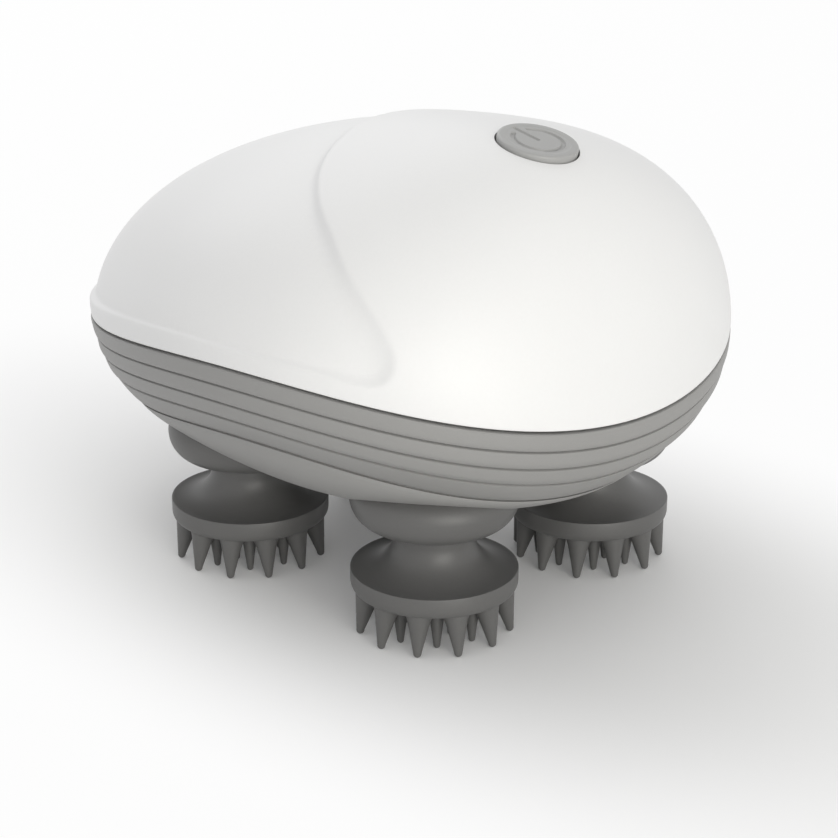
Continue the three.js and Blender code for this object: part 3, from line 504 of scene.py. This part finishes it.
def base_profile():
    """Rows of (depth, fall, inset) down the outside: four bands, each flaring straight out to a rounded
    lip over a groove under which the next starts a step further in, then the underside and its floor."""
    gap, (curl, lip) = SEAM_GAP / 2, BAND_LIP
    corner, ease = 0.08, 0.06
    start, tuck = gap + 0.3, 0.0
    rows = [(gap, 0, WALL), (gap, 0, 0.5), (gap + 0.02, 0, 0.3), (gap + 0.1, 0, 0.12), (start, 0, tuck)]
    for end, (groove, pocket) in zip(BANDS, GROOVES):
        rows += [(start + (end - curl - start) * k, 0, tuck * (1 - k)) for k in np.linspace(0, 1, 9)[1:]]
        rows += [(end - curl + curl * math.sin(a), 0, lip * (1 - math.cos(a)))
                 for a in np.radians((12, 24, 36, 48, 60, 70, 80))]
        start, tuck = end + groove + ease, BAND_STEP
        rows += [(end + 0.02, 0, pocket - corner), (end + 0.5 * groove, 0, pocket),
                 (end + groove, 0, tuck + corner), (start, 0, tuck)]
    rows += [(0, k, BAND_STEP * (1 - k)) for k in np.linspace(0.03, 1, 40)]
    return np.array(rows)


def base_skin(rows):
    """Points of the base at rows of (depth, fall, inset), and its middle closed to a point."""
    angle = np.linspace(0, 2 * np.pi, BASE_SIDES, endpoint=False)
    depth, fall, inset = rows.T[:, :, None]
    rings = base_point(angle[None], depth, fall, inset)
    return np.concatenate([rings, middle(rings[-1])[None]])


def base_mesh():
    """The grey base as one closed shell: its outside rows, and inside rows a wall further in."""
    thick = WALL + BAND_STEP
    sides = [(SEAM_GAP / 2 + d, 0, WALL) for d in (0.0, 3.0, 7.0)] + [(12.4, 0, thick)]
    floor_rows = [(0, k, thick) for k in (0.2, 0.5, 0.8, 1)]
    inner = base_skin(np.array(sides + floor_rows))
    inner[len(sides):, :, 2] += WALL
    points = np.concatenate([inner[::-1], base_skin(base_profile())])
    return mesh_from("base_shell", points.reshape(-1, 3), weave(*points.shape[:2]))


def underside(x, y):
    """Height of the base's outside over a point: the angle comes from the direction from the base's
    middle, the share from the distance, and the height from the inverse of the share's curve."""
    table = np.linspace(0, 2 * np.pi, 2881)
    _, ox, oy = outline(table)
    way = np.unwrap(np.arctan2(oy, ox - BASE_X))
    angle = np.interp(np.arctan2(y, x - BASE_X) % (2 * np.pi), way - way[0], table)
    u, ox, oy = outline(angle)
    share = np.hypot(x - BASE_X, y) / np.hypot(ox - BASE_X, oy)
    last = base_share(BANDS[-1])
    span = np.clip((share - FLOOR_SHARE) / (last - FLOOR_SHARE), 0, 1)
    fall = (1 - span ** UNDERSIDE_CURVE) ** (1 / UNDERSIDE_CURVE)
    flat = (seam_z(u) - BANDS[-1]) * (1 - fall) + FLOOR * fall
    depth = BASE_DEPTH * (1 - np.clip(share, 0, 1) ** (1 / BASE_CURVE[1])) ** (1 / BASE_CURVE[0])
    return np.where(share < last, flat, seam_z(u) - depth)


def stadium(size, steps, inset=0.0):
    """The (y, z) points of a slot shape with round ends, less an inset all round."""
    width, height = size
    radius = height / 2 - inset
    straight = (width - height) / 2
    angle = np.linspace(-np.pi / 2, np.pi / 2, steps)
    right = np.stack([straight + radius * np.cos(angle), radius * np.sin(angle)], -1)
    return np.concatenate([right, -right])


def slot_ring(x, size, steps, inset=0.0):
    """A slot shape at x, at the port's height."""
    return np.concatenate([np.full((2 * steps, 1), x), stadium(size, steps, inset) + (0, PORT_Z)], 1)


def slot_mesh(name, size, start, end):
    """A straight body along X whose section is a slot shape, to cut the port with."""
    rings = [slot_ring(x, size, PORT_SIDES // 2) for x in (start, end)]
    points = np.stack([middle(rings[0]), *rings, middle(rings[1])])
    return mesh_from(name, points.reshape(-1, 3), weave(*points.shape[:2]))


def tail_x(y, z):
    """X of the base's outside near the tail over (y, z): the plan angle is found by repeated trial."""
    u = np.full_like(y, -1.0)
    for _ in range(14):
        depth = np.maximum(seam_z(u) - z, 0)
        u = -np.sqrt(1 - (y / (base_share(depth) * HALF_WIDTH * egg(u))) ** 2)
    share = base_share(depth)
    x = HALF_LENGTH * u * share + BASE_X * (1 - share)
    return x - base_swell(x, depth)


def plug_mesh():
    """The port plug: its face follows the base with a rounded rim and a nail notch at one end, and a
    slim tongue goes into the socket. Each row is a slot shape drawn in towards its middle."""
    steps, rim_from = PLUG_SIDES // 2, 0.9
    curl = np.sin(np.radians(np.linspace(0, 90, 8)))
    face = np.concatenate([np.linspace(0, 0.88, 23), rim_from + (1 - rim_from) * curl])
    y, z = np.moveaxis(face[:, None, None] * stadium(PLUG_FACE, steps), -1, 0)
    rim = PLUG_RIM * (1 - np.sqrt(1 - np.clip((face - rim_from) / (1 - rim_from), 0, 1) ** 2))
    notch_y, notch_size, notch_depth = 4.4, (1.3, 1.9), 0.7
    notch = notch_depth * smoothstep(1.3 - np.hypot((y - notch_y) / notch_size[0], z / notch_size[1]))
    x = tail_x(y, z + PORT_Z) + PLUG_PROUD + rim[:, None] + notch
    front = np.stack([x, y, z + PORT_Z], -1)
    back, blunt = PORT_FLOOR - 0.3, 0.3
    rings = [slot_ring(at, size, steps, inset) for at, size, inset in (
        (back, PLUG_FACE, 0), (back, PLUG_TONGUE, 0), (back + PLUG_REACH - blunt, PLUG_TONGUE, 0),
        (back + PLUG_REACH, PLUG_TONGUE, blunt))]
    points = np.concatenate([front, rings, middle(rings[-1])[None]])
    return mesh_from("port_plug_cap", points.reshape(-1, 3), weave(*points.shape[:2]))


# Button frame: at its place on the crown line, leaning to the nose
def crown_z(x):
    """Height of the dome's crown line on its nose side."""
    share = (x - CROWN_X) / (HALF_LENGTH - CROWN_X)
    height = (1 - share ** (ALONG[1] + FULLER_NOSE)) ** (1 / ALONG[0])
    return seam_z(1.0) * (1 - height) + TOP * height


BUTTON_PLACE = (Matrix.Translation(Vector((BUTTON_X, 0, crown_z(BUTTON_X))) * MM)
                @ Matrix.Rotation(math.radians(BUTTON_TILT), 4, "Y"))


def symbol_depth(x, y):
    """Depth from 0 to 1 of the engraved power sign: a ring open to the tail and a bar through the
    opening."""
    ring_radius, opening, bar_ends = 3.75, 25, (0.1, 4.6)
    half_line, soft = 0.42, 0.2
    radius, angle = np.hypot(x, y), np.degrees(np.arctan2(y, -x))
    beyond = np.radians(np.maximum(opening - np.abs(angle), 0))
    ring = np.hypot(radius * np.cos(beyond) - ring_radius, radius * np.sin(beyond))
    bar = np.hypot(-x - np.clip(-x, *bar_ends), y)
    return smoothstep((half_line - np.minimum(ring, bar)) / soft)


def button_mesh():
    """The button: a chamfered disc on a flange and stem, its top a polar grid that dishes a little inside
    a rim, with the sign let in."""
    proud, radius, chamfer = BUTTON_PROUD, BUTTON_RADIUS, BUTTON_CHAMFER
    stem, flange, stem_low, flange_low, flange_top = 2, radius + 1.2, -6.7, -4.7, -3.8
    dish_radius, dish_edge, dish_depth, sign_depth = radius - 1.1, 0.3, 0.05, 0.3
    side = [(0, stem_low), (stem, stem_low), (stem, flange_low), (flange, flange_low),
            (flange, flange_top), (radius, flange_top), (radius, proud - chamfer)]
    side += arc((radius - chamfer, proud - chamfer), (chamfer, chamfer), np.linspace(12, 78, 7))
    top = [(r, proud) for r in np.linspace(radius - 0.55, 0, 96)]
    points = turned(side + top, BUTTON_SIDES)
    face = points[len(side):]
    sunk = dish_depth * smoothstep((dish_radius - np.hypot(face[..., 0], face[..., 1])) / dish_edge)
    face[..., 2] -= sunk + sign_depth * symbol_depth(face[..., 0], face[..., 1])
    mesh = mesh_from("power_button", points.reshape(-1, 3), weave(*points.shape[:2]))
    mesh.transform(BUTTON_PLACE)
    return mesh


# Heads and cups
def claw_points(reach, radii, angle, flush):
    """A claw: rings whose radius falls from root to tip, flared where it meets the disc and ended by a
    half-ball, then turned to its angle on the head. Flush keeps its outer side upright at reach."""
    (wide, narrow), sunk_in = radii, 0.5
    high = np.concatenate([[CLAW_LENGTH + sunk_in], np.linspace(CLAW_LENGTH, narrow, 16)])
    slope = np.clip((high - narrow) / (CLAW_LENGTH - narrow), 0, 1)
    radius = narrow + (wide - narrow) * slope + CLAW_FLARE * slope ** 9
    tip = np.radians((15, 30, 45, 60, 75, 90))
    high = np.concatenate([high, narrow * (1 - np.sin(tip))])
    radius = np.concatenate([radius, narrow * np.cos(tip)])
    centre = reach - (np.maximum(radius, narrow * (high < narrow)) if flush else 0.0)
    points = turned(np.stack([radius, high], -1), CLAW_SIDES)
    points[..., 0] += np.broadcast_to(centre, radius.shape)[:, None]
    spin = math.radians(angle)
    x, y = points[..., 0].copy(), points[..., 1].copy()
    points[..., 0] = x * math.cos(spin) - y * math.sin(spin)
    points[..., 1] = x * math.sin(spin) + y * math.cos(spin)
    return points


def head_mesh(name, x, y):
    """A claw head: a disc with a crisp rim, a trumpet neck and stem, and three rings of claws."""
    radius, rim, crisp = HEAD_RADIUS, RIM_TOP, 0.12
    body = [(0, CLAW_LENGTH)]
    body += arc((radius - HEAD_EDGE[0], CLAW_LENGTH + HEAD_EDGE[1]), HEAD_EDGE, np.linspace(-90, 0, 12))
    body += [(radius, rim - 0.15), (radius - 0.04, rim - 0.04), (radius - 0.15, rim)]
    body += arc((radius - crisp, NECK_Z), (radius - crisp - NECK_RADIUS, NECK_Z - rim),
                np.linspace(-93, -180, 26))
    body += [(NECK_RADIUS, STEM_TOP - 0.3), (NECK_RADIUS - 0.3, STEM_TOP), (0, STEM_TOP)]
    shapes = [turned(body, HEAD_SIDES)]
    for count, reach, phase, radii, flush in CLAW_RINGS:
        shapes += [claw_points(reach, radii, phase + 360 * k / count, flush) for k in range(count)]
    quads, start = [], 0
    for shape in shapes:
        quads.append(weave(*shape.shape[:2]) + start)
        start += shape.shape[0] * shape.shape[1]
    points = np.concatenate([s.reshape(-1, 3) for s in shapes]) + (x, y, 0)
    return mesh_from(name, points, np.concatenate(quads))


def cup_mesh(name, x, y):
    """A cup: a quarter-ellipse bowl and a quarter-ellipse shoulder, then a collar that climbs to the
    underside. Where the underside dips below a ring, the ring is held just inside the base."""
    mouth, corner, collar = NECK_RADIUS + STEM_GAP, CUP_RADIUS - CUP_ROUND[0], CUP_RADIUS - CUP_SHOULDER[0]
    sunk_in = 0.9
    quarter = np.linspace(0, 90, 24)
    bowl = [(mouth + 0.3, CUP_FLOOR + CUP_WALL), (mouth, CUP_FLOOR + 1.3), (mouth, CUP_FLOOR + 0.3),
            (mouth + 0.09, CUP_FLOOR + 0.09), (mouth + 0.3, CUP_FLOOR)]
    bowl += arc((corner, CUP_FLOOR + CUP_ROUND[1]), CUP_ROUND, quarter - 90)
    bowl += arc((collar, SHOULDER_Z), CUP_SHOULDER, quarter[::2])
    bowl += [(collar, z) for z in (26, 28, COLLAR_TOP)]
    bowl += [(collar - CUP_WALL, z) for z in (COLLAR_TOP, 26, 23.5)]
    bowl += arc((CUP_RADIUS - CUP_WALL - 1, SHOULDER_Z - 0.05), (1, 0.8), (90, 60, 30))
    bowl += arc((corner, CUP_FLOOR + CUP_ROUND[1]), (CUP_ROUND[0] - CUP_WALL, CUP_ROUND[1] - CUP_WALL),
                quarter[::-3] - 90)
    bowl.append(bowl[0])
    points = turned(bowl, CUP_SIDES, x, y)
    points[..., 2] = np.minimum(points[..., 2], underside(points[..., 0], points[..., 1]) + sunk_in)
    return mesh_from(name, points.reshape(-1, 3), weave(*points.shape[:2]))


# Pieces
bore = cylinder("bore", BUTTON_RADIUS + BORE_GAP, -30, 4, 160)
bore.transform(BUTTON_PLACE)
piece("shell_dome", cut(shell_mesh(), bore), "housing", "shell", "upper_housing")
piece("power_button_cap", button_mesh(), "button", "button", "power_button")

screw_wells = [cylinder("well", WELL_RADIUS, 0, WELL_TOP, 48, x, y) for x, y in SCREWS]
pockets = [cylinder("pocket", NECK_RADIUS + STEM_GAP, 10, STEM_TOP + 0.8, 64, x, y) for x, y in HEADS]
port = slot_mesh("port", (13.0, 6.2), -60, PORT_FLOOR)
socket_hole = slot_mesh("socket_hole", (9.6, 3.9), -60, -40)
piece("port_plug_cap", plug_mesh(), "plug", "silicone", "port_plug")
piece("base_shell", cut(base_mesh(), *screw_wells, *pockets, port, socket_hole),
      "housing", "base", "lower_housing")

for number, (hx, hy) in enumerate(HEADS, 1):
    piece(f"claw_head_{number}", head_mesh(f"claw_head_{number}", hx, hy), f"head_{number}", "silicone",
          f"massage_head_{number}")
    piece(f"cup_{number}", cup_mesh(f"cup_{number}", hx, hy), "housing", "silicone", f"seal_cup_{number}")

# Each node's own solid gets the finish of its slot, and shows where no piece stands for it
for name, node in frame["nodes"].items():
    slot = next((s["material_slot"] for s in frame["record"]["subparts"] if s["node"] == name), None)
    if slot and node.type == "MESH":
        node.data.materials.clear()
        node.data.materials.append(FINISHES[slot])


# Floor, light and camera
def floor_finish():
    """The studio floor: it glows white as far as camera, gloss and glass see it, except in a soft oval under
    the part, where it's lit like the rest and shows the part's shade. The glow fading in that oval also
    paints the floor
    darker round the part: a painted shadow pool on top of the cast shadow."""
    finish = Finish("floor_finish", Roughness=0.6)
    finish.colour(finish.shades(finish.grain(400, 0.0), (0.86, 0.86, 0.86), (0.88, 0.88, 0.88)))
    glow = finish.node("ShaderNodeEmission", Color=(1, 1, 1, 1), Strength=1.0)["Emission"]
    rays = finish.node("ShaderNodeLightPath")
    seen = rays["Is Camera Ray"] + rays["Is Glossy Ray"] + rays["Is Transmission Ray"]
    # Painted shade: an oval set a little off the part's middle, where the glow fades so the floor round the
    # part is darker
    painted_shade_oval = finish.node("ShaderNodeMapping", Vector=finish.place,
                       Location=(-0.009, -0.005, 0), Scale=(0.6, 1.3, 1))["Vector"]
    away = finish.node("ShaderNodeVectorMath", {"operation": "LENGTH"}, Vector=painted_shade_oval)["Value"]
    painted_shade_ramp = finish.node("ShaderNodeMapRange", {"interpolation_type": "SMOOTHSTEP"}, Value=away,
                       From_Min=0.035, From_Max=0.1, To_Min=0.08, To_Max=0.92)["Result"]
    blend = finish.tree.nodes.new("ShaderNodeMixShader")
    finish.join(blend.inputs[0], painted_shade_ramp * seen)
    finish.tree.links.new(finish.shader.outputs[0], blend.inputs[1])
    finish.tree.links.new(glow.socket, blend.inputs[2])
    finish.tree.links.new(blend.outputs[0], finish.tree.nodes["Material Output"].inputs[0])
    return finish.material


def softbox(name, place, aim, size, power, colour=(1, 1, 1)):
    """A square area lamp at a place, facing a point, in metres and watts."""
    lamp = bpy.data.lights.new(name, "AREA")
    lamp.size, lamp.energy, lamp.color = size, power, colour
    obj = bpy.data.objects.new(name, lamp)
    obj.location = place
    obj.rotation_euler = (Vector(aim) - Vector(place)).to_track_quat("-Z", "Y").to_euler()
    bpy.context.scene.collection.objects.link(obj)


half = 6
floor_mesh = bpy.data.meshes.new("floor")
floor_mesh.from_pydata([(-half, -half, 0), (half, -half, 0), (half, half, 0), (-half, half, 0)],
                       [], [(0, 1, 2, 3)])
floor_mesh.materials.append(floor_finish())
floor = bpy.data.objects.new("floor", floor_mesh)
bpy.context.scene.collection.objects.link(floor)

# A white world, which lights the scene a third less strongly than it shows
world = bpy.data.worlds.new("studio")
world.use_nodes = True
background = world.node_tree.nodes["Background"]
background.inputs["Color"].default_value = (1, 1, 1, 1)
rays = world.node_tree.nodes.new("ShaderNodeLightPath").outputs
seen = sum(Value(world.node_tree, rays[f"Is {kind} Ray"]) for kind in ("Camera", "Glossy", "Transmission"))
world.node_tree.links.new((0.67 + 0.33 * seen).socket, background.inputs["Strength"])
bpy.context.scene.world = world

WARM = (1, 0.985, 0.925)
softbox("key_light", (0.672, -0.357, 0.247), (0, 0, 0.04), 0.5, 2.25, WARM)
softbox("low_light", (0.55, -0.16, 0.07), (0, 0, 0.03), 0.12, 0.25, WARM)
softbox("back_light", (-0.505, 0.235, 0.5), (0, 0, 0.04), 0.6, 1.35)

camera_data = bpy.data.cameras.new("camera")
camera_data.sensor_width, camera_data.lens = 36.0, 92.06
camera_data.clip_start = 0.01
camera = bpy.data.objects.new("camera", camera_data)
camera.location = (0.22833, -0.23666, 0.14584)
camera.rotation_euler = (math.radians(69.07), 0, math.radians(42.66))
bpy.context.scene.collection.objects.link(camera)
bpy.context.scene.camera = camera
bpy.context.scene.view_settings.view_transform = "Standard"
